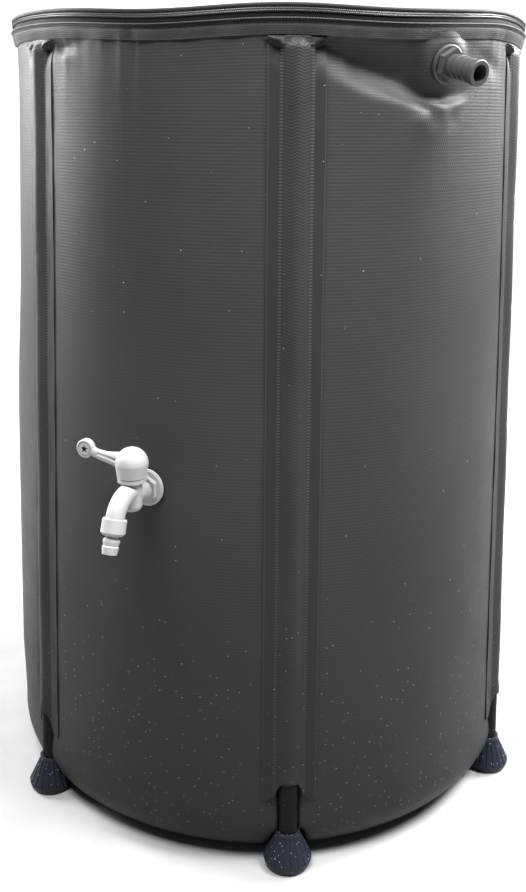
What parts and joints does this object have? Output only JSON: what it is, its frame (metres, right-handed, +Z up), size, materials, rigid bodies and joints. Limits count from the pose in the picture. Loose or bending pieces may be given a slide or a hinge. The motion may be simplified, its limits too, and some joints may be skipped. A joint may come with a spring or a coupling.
{
  "type": "collapsible rain barrel",
  "caption": "Round folding rain barrel of coated cloth with upright poles in sleeves, zipped lid with a mesh inlet, a lever tap and a drooping barbed overflow.",
  "frame": {"origin": "on the floor, in the middle of the ring of feet, on the barrel's upright axis", "axes": "+Z up; -Y the front, where the front pole stands a little to the right of the middle; +X to the right seen from the front"},
  "size_m": [0.6048, 0.6711, 0.875],
  "materials": {
    "barrel_cloth": "woven coated cloth, satin",
    "sleeve_cloth": "woven coated cloth, satin",
    "rim_webbing": "woven webbing, matt",
    "zip_tape": "woven tape, matt",
    "zip_coil": "moulded teeth",
    "piping": "smooth cord edge",
    "zip_metal": "dark lacquer",
    "inlet_mesh": "coated net",
    "pole_plastic": "extruded tube",
    "foot_plastic": "moulded, satin",
    "tap_plastic": "moulded, satin",
    "bonnet_plastic": "moulded, satin",
    "seal_plastic": "smooth",
    "seal_rubber": "soft",
    "overflow_plastic": "moulded, satin"
  },
  "bodies": {
    "bag": {"wall_front_left": "barrel_cloth", "wall_front_right": "barrel_cloth", "wall_right": "barrel_cloth", "wall_back_right": "barrel_cloth", "wall_back_left": "barrel_cloth", "wall_left": "barrel_cloth", "base": "barrel_cloth", "sleeve_front_left": "sleeve_cloth", "sleeve_front": "sleeve_cloth", "sleeve_front_right": "sleeve_cloth", "sleeve_back_right": "sleeve_cloth", "sleeve_back": "sleeve_cloth", "sleeve_back_left": "sleeve_cloth", "rim_band": "rim_webbing", "zip_tape_lower": "zip_tape", "zip_tape_upper": "zip_tape", "zip_coil_lower": "zip_coil", "zip_coil_upper": "zip_coil", "lid_panel": "barrel_cloth", "lid_piping": "piping", "inlet_ring": "rim_webbing", "inlet_mesh": "inlet_mesh", "zip_stops": "zip_coil", "tap_washer_outer": "seal_rubber", "tap_washer_inner": "seal_rubber", "tap_nut": "tap_plastic", "tap_body": "tap_plastic", "tap_seal": "seal_rubber", "tap_bonnet": "bonnet_plastic", "tap_union": "tap_plastic", "tap_outlet_washer": "seal_rubber", "tap_hose_tail": "tap_plastic", "overflow_washer_outer": "seal_rubber", "overflow_washer_inner": "seal_rubber", "overflow_nut": "overflow_plastic", "overflow_body": "overflow_plastic"},
    "pole_front_left": {"pole_front_left": "pole_plastic", "pole_plug_front_left": "foot_plastic", "foot_front_left": "foot_plastic"},
    "pole_front": {"pole_front": "pole_plastic", "pole_plug_front": "foot_plastic", "foot_front": "foot_plastic"},
    "pole_front_right": {"pole_front_right": "pole_plastic", "pole_plug_front_right": "foot_plastic", "foot_front_right": "foot_plastic"},
    "pole_back_right": {"pole_back_right": "pole_plastic", "pole_plug_back_right": "foot_plastic", "foot_back_right": "foot_plastic"},
    "pole_back": {"pole_back": "pole_plastic", "pole_plug_back": "foot_plastic", "foot_back": "foot_plastic"},
    "pole_back_left": {"pole_back_left": "pole_plastic", "pole_plug_back_left": "foot_plastic", "foot_back_left": "foot_plastic"},
    "tap_handle": {"tap_handle": "tap_plastic", "tap_plug": "seal_plastic"},
    "zip_slider": {"zip_slider": "zip_metal"},
    "zip_pull": {"zip_pull": "zip_metal"}
  },
  "joints": [
    {"name": "pole_front_left_slide", "type": "slide", "parent": "bag", "child": "pole_front_left", "axis": [0.0096, 0.0068, 0.9999], "range_m": [-0.7, 0]},
    {"name": "pole_front_slide", "type": "slide", "parent": "bag", "child": "pole_front", "axis": [-0.0011, 0.0118, 0.9999], "range_m": [-0.7, 0]},
    {"name": "pole_front_right_slide", "type": "slide", "parent": "bag", "child": "pole_front_right", "axis": [-0.0107, 0.0049, 0.9999], "range_m": [-0.7, 0]},
    {"name": "pole_back_right_slide", "type": "slide", "parent": "bag", "child": "pole_back_right", "axis": [-0.0096, -0.0068, 0.9999], "range_m": [-0.7, 0]},
    {"name": "pole_back_slide", "type": "slide", "parent": "bag", "child": "pole_back", "axis": [0.0011, -0.0118, 0.9999], "range_m": [-0.7, 0]},
    {"name": "pole_back_left_slide", "type": "slide", "parent": "bag", "child": "pole_back_left", "axis": [0.0107, -0.0049, 0.9999], "range_m": [-0.7, 0]},
    {"name": "tap_turn", "type": "hinge", "parent": "bag", "child": "tap_handle", "pos_m": [-0.12919, -0.30288, 0.4205], "axis": [0, 0, 1], "range_deg": [0, 90]},
    {"name": "slider_run", "type": "hinge", "parent": "bag", "child": "zip_slider", "pos_m": [0, 0, 0.8683], "axis": [0, 0, -1], "range_deg": [0, 330]},
    {"name": "pull_swing", "type": "hinge", "parent": "zip_slider", "child": "zip_pull", "pos_m": [0.07775, 0.29265, 0.8683], "axis": [0.9665, -0.2568, 0], "range_deg": [0, 150]}
  ]
}
